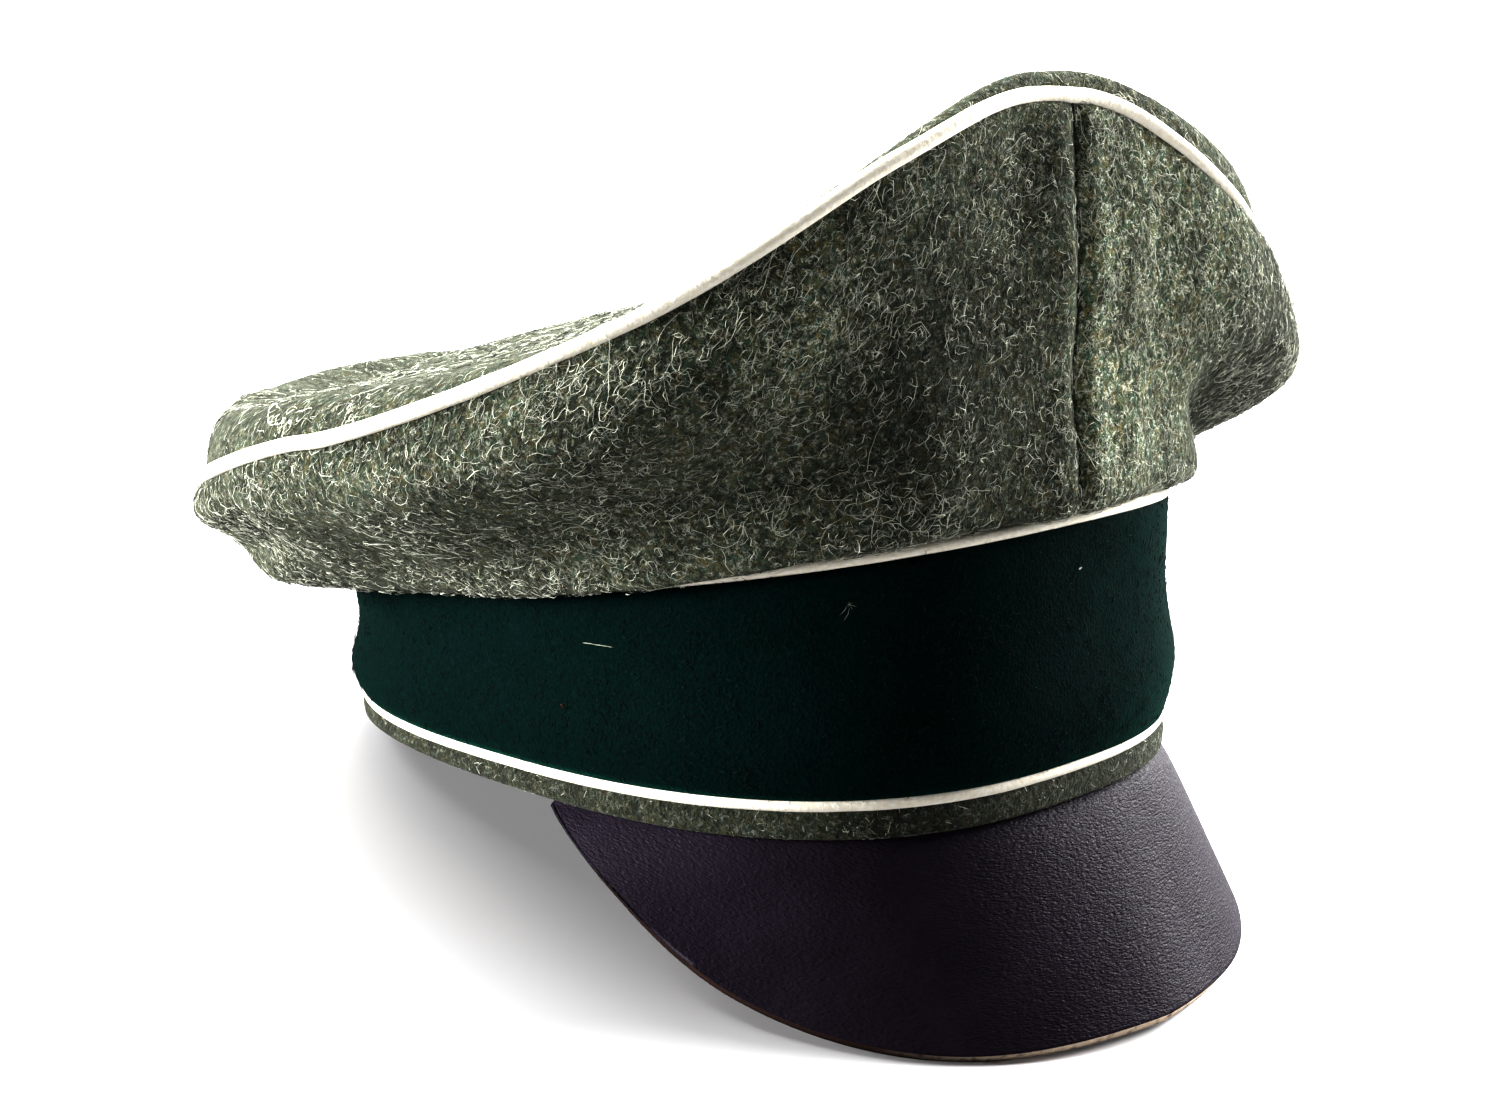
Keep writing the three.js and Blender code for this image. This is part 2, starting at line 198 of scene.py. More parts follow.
# Lightness of each wool piece all over, and round patches of it. The two side panels differ partly because
# their nap lies another way. The round patches are painted light and painted shade: lighter where light
# falls on the crown, darker where it turns away. The top panel's lightness is painted shade on the top. The
# rim strip's wool is darker all over.
PAINTED_LIGHT_PATCH = ("place", "radius", "lightness")
WOOL_NAP_AND_PAINTED_LIGHT = {
    "right panel": {"lightness": 1.0, "patches": table(PAINTED_LIGHT_PATCH, [
        ((-43, -87, 134), 44, 0.5),
        ((-100, -58, 116), 30, 0.8),
        ((-74, -76, 148), 28, 2.2),
        ((-7, -89, 140), 16, 1.4),
    ])},
    "left panel": {"lightness": 0.5, "patches": table(PAINTED_LIGHT_PATCH, [
        ((8, -90, 146), 80, 5.6),
        ((64, -85, 128), 30, 0.52),
        ((69, -77, 115), 17, 0.6),
    ])},
    "top panel": {"lightness": 0.85, "patches": []},
    "rim strip": {"lightness": 0.4, "patches": []},
}
# How many cells of its panel's grid a fibre may reach past the panel's edge.
FIBRE_OVERSHOOT = 0.7

# The peak's cut edge is darkened with painted shade at the wearer's right and bare from the middle to the
# left.
EDGE_PAINTED_SHADE_TO = (-66.0, -30.0)

# Nap of each wool panel: its part of the crown's count, its shares of pale, middle and dark
# fibres, how coarse it is and its seed.
NAPS = {
    # The left panel's larger share of pale fibres makes it lighter, and the right panel's smaller share
    # makes it darker: partly their nap, partly painted light and painted shade.
    "side_right": {"part": 1.0, "shares": (0.38, 0.32, 0.30), "coarse": 1.0, "seed": 13},
    "side_left": {"part": 1.0, "shares": (0.62, 0.26, 0.12), "coarse": 1.0, "seed": 9},
    "top": {"part": 0.9, "shares": (0.30, 0.36, 0.34), "coarse": 1.0, "seed": 31},
    "rim": {"part": 0.4, "shares": (0.5, 0.2, 0.3), "coarse": 1.55, "seed": 53},
}
SHORT_NAP = {"steps": 3, "lift": 0.6, "curl": 46}
# Long pale strays: one to so many short fibres, with length and width as parts of theirs.
STRAYS = {"one_in": 20, "steps": 7, "length": 2.8, "width": 0.65, "lift": 0.9, "curl": 32}
BAND_NAP = {
    "count": 7000, "steps": 3, "length": 1.3, "width": 0.13, "lift": 0.45, "curl": 25,
    "shares": (0.5, 0.15, 0.35),
}
FIBRE_SEEDS = {"top_tuft": 35, "band_nap": 43, "band_lint": 45}
# Fibres stand in clumps: the sizes of two noises, and how dense the thin and thick places are.
FIBRE_CLUMPS = {"fine": 5, "broad": 17, "middle": 0.55, "thin": 0.08, "thick": 1.5}
LEAST_CELL = 0.05
# Fibres differ in length and width, and each lies a little off the cloth.
FIBRE_RANGE = {"length": 0.4, "thinnest": 0.65, "thicker": 0.7, "off_cloth": 0.05}

# Loose yarn and lint in their own places. Near is the row and column of the panel's grid.
TUFT = table(("near", "scatter", "count", "steps", "length", "width", "lift", "curl"), [
    ((227.5, 2.4), 0.5, 12, 18, 13, 0.2, 1.4, 44),
    ((222, 3.0), 1.3, 10, 12, 8, 0.14, 0.8, 40),
])
LINT = table((
    "near", "scatter", "count", "steps", "length", "width", "lift", "curl", "heading", "colour",
), [
    ((214.5, 19.0), 0.0, 1, 7, 7.0, 0.16, 0.6, 5, math.pi, (0.42, 0.46, 0.36)),
    ((150, 21.2), 0.0, 3, 3, 0.7, 0.45, 0.1, 5, None, (0.75, 0.75, 0.68)),
    ((181, 22.0), 0.02, 6, 4, 2.2, 0.08, 0.5, 9, None, (0.25, 0.27, 0.22)),
    ((217, 10.2), 0.0, 1, 4, 1.6, 0.22, 0.3, 20, None, (0.30, 0.05, 0.02)),
])

# Layers of strands drawn over the wool, each in its strand colour or the light one.
WOOL_STRANDS = table(("shift", "scale", "width", "cover", "share", "light"), [
    ((11, 3, 47), 1.7, 0.11, 0.60, 0.95, False),
    ((37, 23, 9), 1.25, 0.08, 0.56, 0.95, False),
    ((-23, 17, 5), 0.85, 0.055, 0.5, 1.0, True),
    ((7, -41, 29), 0.5, 0.022, 0.46, 1.2, True),
])


def colour_property(name, description, default):
    """A colour that a user would change."""
    return FloatVectorProperty(
        name=name, description=description, default=default, subtype="COLOR", size=3, min=0, max=1,
    )


class CapSizes(bpy.types.PropertyGroup):
    """Sizes of the cap's fine details that a user would change."""
    fibre_length: FloatProperty(
        name="Fibre length", description="Length of the short wool fibres",
        default=0.0030, min=0.001, unit="LENGTH",
    )
    fibre_width: FloatProperty(
        name="Fibre width", description="Width of one short wool fibre",
        default=0.00013, min=0.00002, unit="LENGTH",
    )
    crown_fibres: IntProperty(
        name="Crown fibres", description="Short fibres on each panel of the crown",
        default=12500, min=0,
    )
    seam_depth: FloatProperty(
        name="Seam depth", description="How deep the crown's seams are drawn in",
        default=0.0016, unit="LENGTH",
    )
    grain_size: FloatProperty(
        name="Leather grain", description="Size of one pebble of the leather's grain",
        default=0.0006, unit="LENGTH",
    )


class CapColours(bpy.types.PropertyGroup):
    """Colours of the cap's cloth and leather."""
    # Partly painted shade: the wool is painted this dark where its bumps are low.
    wool_dark: colour_property(
        "Wool, dark", "Colour in the hollows of the wool", (0.0055, 0.0072, 0.0036),
    )
    wool_cool: colour_property("Wool, cool", "Colour of the blue-green strands", (0.036, 0.070, 0.046))
    wool_warm: colour_property("Wool, warm", "Colour of the ochre strands", (0.110, 0.098, 0.042))
    wool_mid: colour_property("Wool, middle", "Main colour of the wool", (0.088, 0.102, 0.052))
    wool_light: colour_property(
        "Wool, light", "Colour of the light fibres in the wool", (0.42, 0.43, 0.36),
    )
    band: colour_property("Band", "Colour of the band's napped cloth", (0.0003, 0.0036, 0.0029))
    piping: colour_property("Piping", "Colour of the piping cords", (0.92, 0.89, 0.80))
    leather: colour_property("Leather", "Colour of the peak's upper face", (0.0125, 0.0092, 0.0150))
    # The edge's light colour is partly painted light.
    leather_edge: colour_property(
        "Leather edge", "Colour of the peak's raw cut edge", (0.95, 0.76, 0.58),
    )
    leather_back: colour_property(
        "Leather underside", "Colour of the peak's underside", (0.045, 0.020, 0.013),
    )
    floor: colour_property("Floor", "Colour of the floor", (0.88, 0.87, 0.88))


def interpolate(rows, key, at):
    """Smooth value through rows by their part, flat beyond the first and last row."""
    places = np.array([row["part"] for row in rows])
    values = np.array([row[key] for row in rows], float)
    places_padded = np.concatenate([places[:1], places, places[-1:]])
    values_padded = np.concatenate([values[:1], values, values[-1:]])
    at = np.clip(np.asarray(at, float), places[0], places[-1])
    low = np.clip(np.searchsorted(places, at, side="right"), 1, len(places) - 1)
    before, start, end, after = (places_padded[low + shift] for shift in (-1, 0, 1, 2))
    v_before, v_start, v_end, v_after = (values_padded[low + shift] for shift in (-1, 0, 1, 2))
    span = end - start
    start_slope = (v_end - v_before) / (end - before) * span
    end_slope = (v_after - v_start) / (after - start) * span
    return hermite(v_start, v_end, start_slope, end_slope, (at - start) / span)


def hermite(start, end, start_slope, end_slope, part):
    """Cubic between two values with a slope at each."""
    square = part * part
    cube = square * part
    return (
        (2 * cube - 3 * square + 1) * start
        + (cube - 2 * square + part) * start_slope
        + (3 * square - 2 * cube) * end
        + (cube - square) * end_slope
    )


def unit(vectors, least=1e-9):
    """Vectors brought to length one. The least length guards against dividing by nothing."""
    return vectors / np.maximum(np.linalg.norm(vectors, axis=-1, keepdims=True), least)


def signed_power(value, power):
    return np.sign(value) * np.abs(value) ** power


def head_point(angle):
    """Plan point of the head line at each angle."""
    power = 2 / HEAD_LINE["squareness"]
    turn = np.radians(angle)
    x = -HEAD_LINE["half_width"] * signed_power(np.sin(turn), power)
    y = -HEAD_LINE["half_length"] * signed_power(np.cos(turn), power)
    return np.stack([x, y], axis=-1)


def head_normal(angle):
    """Direction straight out of the head line in plan."""
    step = 0.2
    along = unit(head_point(angle + step) - head_point(angle - step))
    return np.stack([-along[..., 1], along[..., 0]], axis=-1)


def place(angle, out, height):
    """Points a distance outside the head line, at a height."""
    angle, out, height = np.broadcast_arrays(angle, out, height)
    plan = head_point(angle) + head_normal(angle) * out[..., None]
    return np.concatenate([plan, height[..., None]], axis=-1)


def round_head(name):
    """Angles right round the head, as many as the named grid has rows."""
    return np.linspace(-180, 180, GRID_POINTS[name][0] + 1)[:-1]


def band_top(angle):
    return BAND["side_height"] + BAND["front_extra"] * np.cos(np.radians(angle))


def crown_value(read, angle):
    """Smooth value through the crown's rows, right round the head."""
    values = np.array([read(row) for row in CROWN_ROWS], float)
    count = len(values)
    spot = (np.asarray(angle, float) + 180) % 360 / (360 / count)
    low = np.floor(spot).astype(int)
    before, start, end, after = (values[(low + shift) % count] for shift in (-1, 0, 1, 2))
    return hermite(start, end, (end - before) / 2, (after - start) / 2, spot - low)


def crown_point(name, angle):
    """Point of the crown named in its rows, at each angle."""
    out = crown_value(lambda row: row[name][0], angle)
    rise = crown_value(lambda row: row[name][1], angle)
    return place(angle, out, band_top(angle) + rise)


def smooth_path(points, parts):
    """Smooth curve through points at each part of its length, which suits uneven spacing."""
    points = [2 * points[0] - points[1], *points, 2 * points[-1] - points[-2]]
    spans = len(points) - 3
    lines = []
    for part in parts:
        spot = part * spans
        low = min(int(spot), spans - 1)
        before, start, end, after = points[low:low + 4]
        gaps = [np.linalg.norm(b - a, axis=-1, keepdims=True) ** 0.5 for a, b in
                ((before, start), (start, end), (end, after))]
        middle = (end - start) / gaps[1]
        start_slope = (start - before) / gaps[0] - (end - before) / (gaps[0] + gaps[1]) + middle
        end_slope = middle - (after - start) / (gaps[1] + gaps[2]) + (after - end) / gaps[2]
        lines.append(hermite(start, end, start_slope * gaps[1], end_slope * gaps[1], spot - low))
    return np.stack(lines, axis=1)


def fold_depth(angle, part):
    """How far the soft folds push the crown's side out."""
    depth = np.zeros(np.broadcast(angle, part).shape)
    for fold in FOLDS:
        across = (angle - fold["angle"]) / fold["spread"]
        along = (part - fold["part"]) / fold["part_spread"]
        depth += fold["depth"] * np.exp(-across * across - along * along)
    return depth


def settling():
    """Matrix that lays the level cap, in millimetres, down as it rests, in metres."""
    mount = next(row for row in frame["record"]["mounts"] if row["name"] == "rim_face")
    axis = mount["axis"]
    tip = Matrix.Rotation(-math.atan2(-axis[1], -axis[2]), 4, "X")
    rear = Vector((0, HEAD_LINE["half_length"] - RIM_STRIP["thick"] / 2, -RIM_STRIP["height"]))
    shrink = Matrix.Scale(MILLIMETRE, 4)
    moved = Vector(mount["pos_m"]) - (tip @ shrink @ rear)
    return Matrix.Translation(moved) @ tip @ shrink


def settle(points):
    """Level points in millimetres as resting points in metres."""
    matrix = np.array(settling())
    return points @ matrix[:3, :3].T + matrix[:3, 3]


def grid_normals(grid, closed):
    """Outward normals of a grid whose rows run round the head and columns along the profile."""
    before = np.roll(grid, 1, axis=0)
    after = np.roll(grid, -1, axis=0)
    if not closed:
        before[0] = grid[0]
        after[-1] = grid[-1]
    along = np.gradient(grid, axis=1)
    return unit(np.cross(along, after - before))


def cloth_lumps(grid, normals, fade, seed):
    """A grid with the soft unevenness of cloth, faded by a value for each column."""
    shift = Vector((seed, seed, seed))
    moved = grid.copy()
    for i, row in enumerate(grid):
        for j, point in enumerate(row):
            spot = Vector(point)
            depth = sum(lump["depth"] * noise.noise(spot / lump["size"] + shift) for lump in CLOTH_LUMPS)
            moved[i, j] += normals[i, j] * depth * fade[j]
    return moved


def grid_quads(rows, columns, closed):
    """Corner numbers of the quads of a grid."""
    i, j = np.meshgrid(np.arange(rows if closed else rows - 1), np.arange(columns - 1), indexing="ij")
    after = (i + 1) % rows
    corners = [i * columns + j, after * columns + j, after * columns + j + 1, i * columns + j + 1]
    return np.stack(corners, axis=-1).reshape(-1, 4)


def edge_quads(line, shift):
    """Quads between a line of corner numbers on the outer grid and the same line on the inner."""
    return np.stack([line[:-1], line[1:], line[1:] + shift, line[:-1] + shift], axis=-1)


def link_object(name, data):
    """An object for a mesh, a light or a camera, in the scene."""
    made = bpy.data.objects.new(name, data)
    bpy.context.scene.collection.objects.link(made)
    return made


def link_mesh(name, points, faces, materials, kinds=None, merge=True):
    """A smooth-shaded object from level points. Merging joins doubles and turns the faces out."""
    mesh = bpy.data.meshes.new(name)
    mesh.from_pydata(settle(points).tolist(), [], faces.tolist())
    for material in materials:
        mesh.materials.append(material)
    if kinds is not None:
        mesh.polygons.foreach_set("material_index", kinds.tolist())
    if merge:
        build = bmesh.new()
        build.from_mesh(mesh)
        bmesh.ops.remove_doubles(build, verts=build.verts, dist=1e-6)
        bmesh.ops.recalc_face_normals(build, faces=build.faces)
        build.to_mesh(mesh)
        build.free()
    mesh.polygons.foreach_set("use_smooth", [True] * len(mesh.polygons))
    return link_object(name, mesh)


def wall(name, outer, inner, closed, materials):
    """A cloth or leather wall between two grids. Its materials are face, back and edge."""
    rows, columns = outer.shape[:2]
    shift = rows * columns
    numbers = np.arange(shift).reshape(rows, columns)
    face = grid_quads(rows, columns, closed)
    back = face[:, ::-1] + shift
    lines = [numbers[:, 0], numbers[:, -1]]
    if closed:
        lines = [np.append(line, line[0]) for line in lines]
    else:
        lines += [numbers[0], numbers[-1]]
    edge = np.concatenate([edge_quads(line, shift) for line in lines])
    points = np.concatenate([outer.reshape(-1, 3), inner.reshape(-1, 3)])
    kinds = np.repeat([0, 1, 2], [len(face), len(back), len(edge)])
    kinds = np.minimum(kinds, len(materials) - 1)
    return link_mesh(name, points, np.concatenate([face, back, edge]), materials, kinds)


def cord(name, path, radius, sides, material):
    """A closed cord of round section along a path. Its radius may change along it."""
    along = unit(np.roll(path, -1, axis=0) - np.roll(path, 1, axis=0))
    side = unit(np.cross(along, (0, 0, 1)))
    up = np.cross(side, along)
    turns = 2 * np.pi * np.arange(sides) / sides
    ring = side[:, None] * np.cos(turns)[None, :, None] + up[:, None] * np.sin(turns)[None, :, None]
    grid = path[:, None] + ring * np.reshape(radius, (-1, 1, 1))
    grid = np.concatenate([grid, grid[:, :1]], axis=1)
    faces = grid_quads(len(path), sides + 1, True)
    return link_mesh(name, grid.reshape(-1, 3), faces, [material])


def finish_piece(piece, slot, *nodes):
    """The piece moves with the cap and stands for its nodes, which are hidden. Its slot is not used."""
    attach(piece, "root")
    if nodes:
        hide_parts(*nodes)


def sample(grid, rows, columns):
    """Values of a grid between its points."""
    i = np.clip(rows.astype(int), 0, grid.shape[0] - 2)
    j = np.clip(columns.astype(int), 0, grid.shape[1] - 2)
    u = (rows - i)[:, None]
    v = (columns - j)[:, None]
    low = grid[i, j] * (1 - v) + grid[i, j + 1] * v
    high = grid[i + 1, j] * (1 - v) + grid[i + 1, j + 1] * v
    return low * (1 - u) + high * u


def clumping(spot, shift):
    """How much denser than usual the fibres stand at a spot."""
    return noise.noise(spot / FIBRE_CLUMPS["fine"] + shift) + noise.noise(spot / FIBRE_CLUMPS["broad"])


def walk_grid(grid, normals, look, random):
    """Lines of points that wander over a grid and arch off it, and the normal at each line's end."""
    cell = np.linalg.norm(grid[1:, :-1] - grid[:-1, :-1], axis=-1)
    tall = np.linalg.norm(grid[:-1, 1:] - grid[:-1, :-1], axis=-1)
    shift = Vector((look["length"], 0, 0))
    dense = [[clumping(Vector(point), shift) for point in row] for row in grid[:-1, :-1]]
    dense = np.clip(FIBRE_CLUMPS["middle"] + np.array(dense), FIBRE_CLUMPS["thin"], FIBRE_CLUMPS["thick"])
    area = (cell * tall * dense).reshape(-1)
    count = look["count"]
    if "near" in look:
        rows, columns = (at + look["scatter"] * random.normal(size=count) for at in look["near"])
    else:
        picked = random.choice(len(area), size=count, p=area / area.sum())
        rows = picked // cell.shape[1] + random.random(count)
        columns = picked % cell.shape[1] + random.random(count)
    if look.get("heading") is None:
        heading = random.random(count) * 2 * np.pi
    else:
        heading = np.full(count, look["heading"])
    curl = np.radians(look["curl"]) * random.normal(size=count)
    stride = look["length"] / look["steps"] * random.lognormal(0, FIBRE_RANGE["length"], count)
    lift = look["lift"] * random.random(count) ** 2
    loose = random.random(count)
    lines = []
    for step in range(look["steps"] + 1):
        part = step / look["steps"]
        normal = sample(normals, rows, columns)
        rise = FIBRE_RANGE["off_cloth"] + (math.sin(math.pi * part) + loose * part) * lift
        lines.append(sample(grid, rows, columns) + normal * rise[:, None])
        i = np.clip(rows.astype(int), 0, cell.shape[0] - 1)
        j = np.clip(columns.astype(int), 0, cell.shape[1] - 1)
        rows = rows + stride * np.cos(heading) / np.maximum(cell[i, j], LEAST_CELL)
        columns = columns + stride * np.sin(heading) / np.maximum(tall[i, j], LEAST_CELL)
        rows = np.clip(rows, -FIBRE_OVERSHOOT, grid.shape[0] - 1 + FIBRE_OVERSHOOT)
        columns = np.clip(columns, -FIBRE_OVERSHOOT, grid.shape[1] - 1 + FIBRE_OVERSHOOT)
        heading = heading + curl + np.radians(look["curl"]) * random.normal(size=count)
    return np.stack(lines, axis=1), normal


def spindles(name, lines, normal, width, materials, kinds):
    """Closed three-sided tubes, pointed at both ends, along many lines at once."""
    count, stops = lines.shape[:2]
    along = unit(np.gradient(lines, axis=1), 1e-6)
    side = unit(np.cross(along, normal[:, None]), 1e-6)
    up = np.cross(side, along)
    sides = 3
    rings = []
    for k in range(sides):
        turn = 2 * math.pi * k / sides
        spread = side * math.cos(turn) + up * math.sin(turn)
        rings.append((lines + spread * (width / 2)[:, None, None])[:, 1:-1])
    body = np.stack(rings, axis=2).reshape(count, -1, 3)
    points = np.concatenate([lines[:, :1], body, lines[:, -1:]], axis=1)
    last = 1 + (stops - 3) * sides
    faces = []
    for k in range(sides):
        after = (k + 1) % sides
        faces += [[0, 1 + after, 1 + k], [last + k, last + after, points.shape[1] - 1]]
        for low in range(1, last, sides):
            faces.append([low + k, low + after, low + sides + after])
            faces.append([low + k, low + sides + after, low + sides + k])
    every = np.array(faces)[None] + (np.arange(count) * points.shape[1])[:, None, None]
    kinds = np.repeat(kinds, len(faces))
    return link_mesh(name, points.reshape(-1, 3), every.reshape(-1, 3), materials, kinds, merge=False)


def fibres(name, grid, normals, look, materials, slot, seed):
    """Many stray fibres lying on a grid. The look's sizes are in millimetres and degrees."""
    random = np.random.default_rng(seed)
    lines, normal = walk_grid(grid, normals, look, random)
    thickness = FIBRE_RANGE["thinnest"] + FIBRE_RANGE["thicker"] * random.random(look["count"])
    width = look["width"] * thickness
    kinds = random.choice(len(materials), size=look["count"], p=look.get("shares", (1.0,)))
    piece = spindles(name, lines, normal, width, materials, kinds)
    finish_piece(piece, slot)


def add_node(tree, kind, inputs=None, **settings):
    """A shader node with its settings and inputs."""
    made = tree.nodes.new(kind)
    for name, value in settings.items():
        setattr(made, name, value)
    feed(tree, made, inputs or {})
    return made


def feed(tree, node, inputs):
    """Gives a node its inputs, each as a value or as the socket to link."""
    for name, value in inputs.items():
        if isinstance(value, bpy.types.NodeSocket):
            tree.links.new(value, node.inputs[name])
        else:
            node.inputs[name].default_value = value


def add_math(tree, operation, first, second=0.5):
    """The result of a sum on two values."""
    return add_node(tree, "ShaderNodeMath", {0: first, 1: second}, operation=operation).outputs[0]


def multiply(tree, first, second):
    return add_math(tree, "MULTIPLY", first, second)


def add_noise(tree, vector, scale, **inputs):
    """A noise with its scale and other inputs."""
    return add_node(tree, "ShaderNodeTexNoise", {"Vector": vector, "Scale": scale, **inputs}).outputs["Fac"]


def add_range(tree, value, low, high, to_low=0.0, to_high=1.0):
    """A value brought from one range to another with soft ends."""
    inputs = {"Value": value, "From Min": low, "From Max": high, "To Min": to_low, "To Max": to_high}
    made = add_node(tree, "ShaderNodeMapRange", inputs, interpolation_type="SMOOTHSTEP")
    return made.outputs["Result"]


def add_mix(tree, part, first, second, blend="MIX"):
    """Two colours mixed by a part."""
    inputs = {0: part, 6: first, 7: second}
    return add_node(tree, "ShaderNodeMix", inputs, data_type="RGBA", blend_type=blend).outputs[2]


def solid(colour):
    return (*colour, 1.0)


def shaded(colour, part):
    """A colour made darker or lighter by a part."""
    return solid([value * part for value in colour])


def new_group(name, inputs, outputs):
    """A shader node group with float inputs and outputs, and a vector input."""
    group = bpy.data.node_groups.new(name, "ShaderNodeTree")
    group.interface.new_socket(name="Vector", in_out="INPUT", socket_type="NodeSocketVector")
    for label, default in inputs.items():
        socket = group.interface.new_socket(name=label, in_out="INPUT", socket_type="NodeSocketFloat")
        socket.default_value = default
    for label in outputs:
        group.interface.new_socket(name=label, in_out="OUTPUT", socket_type="NodeSocketFloat")
    return group, group.nodes.new("NodeGroupInput"), group.nodes.new("NodeGroupOutput")


def strand_group():
    """Short curly strands: thin lines where a noise crosses its middle, broken by another."""
    inputs = {"Scale": 1.0, "Width": 0.08, "Cover": 0.5}
    group, given, result = new_group("Curly strands", inputs, ["Strands"])
    vector, scale, width, cover = (given.outputs[name] for name in ("Vector", "Scale", "Width", "Cover"))
    wave = add_noise(group, vector, scale, Detail=1.5, Distortion=0.8)
    breaks = add_noise(group, vector, multiply(group, scale, 0.9), Detail=0.0, Distortion=0.0)
    away = add_math(group, "ABSOLUTE", add_math(group, "SUBTRACT", wave, 0.5))
    line = add_node(group, "ShaderNodeMapRange", {
        "Value": away, "From Min": 0.0, "From Max": width, "To Min": 1.0, "To Max": 0.0,
    }).outputs["Result"]
    gate = add_math(group, "SUBTRACT", breaks, add_math(group, "SUBTRACT", 1.0, cover))
    kept = add_range(group, gate, -0.04, 0.06)
    group.links.new(multiply(group, line, kept), result.inputs["Strands"])


def mottle_group():
    """Soft patches, from 0 to 1, with more or less contrast."""
    group, given, result = new_group("Soft mottling", {"Scale": 0.1, "Contrast": 1.0}, ["Patches"])
    patches = add_noise(group, given.outputs["Vector"], given.outputs["Scale"], Detail=3.0, Roughness=0.6)
    centred = add_math(group, "SUBTRACT", patches, 0.5)
    spread = multiply(group, centred, multiply(group, given.outputs["Contrast"], 2.5))
    shifted = add_node(group, "ShaderNodeMath", {0: spread, 1: 0.5}, operation="ADD", use_clamp=True)
    group.links.new(shifted.outputs[0], result.inputs["Patches"])


def use_group(tree, group, vector, shift, **values):
    """A group placed in a material with its own values, its pattern shifted where that is given."""
    if shift:
        moved = add_node(tree, "ShaderNodeMapping", {"Vector": vector, "Location": shift})
        vector = moved.outputs["Vector"]
    nodes = bpy.data.node_groups[group]
    return add_node(tree, "ShaderNodeGroup", {"Vector": vector, **values}, node_tree=nodes).outputs[0]


def mottle(tree, vector, scale, contrast, shift=None):
    return use_group(tree, "Soft mottling", vector, shift, Scale=scale, Contrast=contrast)


def curly(tree, vector, scale, width, cover, shift=None):
    return use_group(tree, "Curly strands", vector, shift, Scale=scale, Width=width, Cover=cover)


def new_material(name):
    """A material with one Principled shader, and its place in millimetres."""
    material = bpy.data.materials.new(name)
    material.use_nodes = True
    tree = material.node_tree
    shader = tree.nodes["Principled BSDF"]
    spot = add_node(tree, "ShaderNodeTexCoord")
    inputs = {"Vector": spot.outputs["Object"], "Scale": (1 / MILLIMETRE,) * 3}
    scaled = add_node(tree, "ShaderNodeMapping", inputs)
    return material, tree, shader, scaled.outputs["Vector"]


def add_bump(tree, height, strength, distance):
    inputs = {"Height": height, "Strength": strength, "Distance": distance}
    return add_node(tree, "ShaderNodeBump", inputs).outputs["Normal"]


def wool_material(name, colours, nap):
    """Melange wool: dark gaps, partly painted shade in the wool's hollows, grey-green strands and short
    light curly strands over them, made lighter or darker all over and in round patches of painted light and
    painted shade.
    """
    material, tree, shader, spot = new_material(name)
    dark, mid, cool, warm, light = (
        solid(getattr(colours, f"wool_{shade}")) for shade in ("dark", "mid", "cool", "warm", "light")
    )
    tint = mottle(tree, spot, 0.5, 2.2, (5, 71, 13))
    ochre = mottle(tree, spot, 0.45, 2.2, (51, 2, 33))
    strand = add_mix(tree, tint, mid, cool)
    strand = add_mix(tree, add_range(tree, ochre, 0.6, 1.0), strand, warm)
    patches = mottle(tree, spot, 0.13, 2.2, (31, 7, 3))
    clumps = mottle(tree, spot, 0.62, 2.6, (17, 39, 61))
    clumps = add_mix(tree, 0.4, clumps, patches)
    # Dark where the clumps are low, which are the bump's hollows: partly the wool's dark ground, partly
    # painted shade in its hollows.
    base = add_mix(tree, add_range(tree, clumps, 0.1, 1.0, 0.0, 0.5), dark, strand)
    height = multiply(tree, clumps, 1.2)
    for row in WOOL_STRANDS:
        share = add_range(tree, clumps, 0.0, 1.0, 0.2 * row["share"], row["share"])
        strands = curly(tree, spot, row["scale"], row["width"], row["cover"], row["shift"])
        strands = multiply(tree, strands, share)
        base = add_mix(tree, strands, base, light if row["light"] else strand)
        height = add_math(tree, "ADD", height, multiply(tree, strands, 0.8))
    # Each piece's lightness all over: partly its nap, and on the top panel painted shade.
    base = add_mix(tree, 1.0, base, solid([nap["lightness"]] * 3), "MULTIPLY")
    # Round patches of painted light and painted shade: lighter where light falls more on the crown, darker
    # where it falls less.
    for patch in nap["patches"]:
        away = add_node(tree, "ShaderNodeVectorMath", {0: spot, 1: patch["place"]}, operation="DISTANCE")
        radius = patch["radius"]
        part = add_range(tree, away.outputs["Value"], 0.1 * radius, radius, patch["lightness"], 1.0)
        base = add_mix(tree, 1.0, base, part, "MULTIPLY")
    feed(tree, shader, {
        "Base Color": base, "Normal": add_bump(tree, height, 0.8, 0.0004), "Roughness": 0.95,
        "Specular IOR Level": 0.1, "Sheen Weight": 0.1, "Sheen Roughness": 0.6,
        "Sheen Tint": (0.85, 0.9, 0.7, 1),
    })
    return material


def fibre_material(name, colour):
    """Loose fibres, a little uneven in colour."""
    material, tree, shader, spot = new_material(name)
    base = add_mix(tree, mottle(tree, spot, 0.35, 1.8), shaded(colour, 0.6), solid(colour))
    feed(tree, shader, {"Base Color": base, "Roughness": 0.8, "Specular IOR Level": 0.1})
    return material


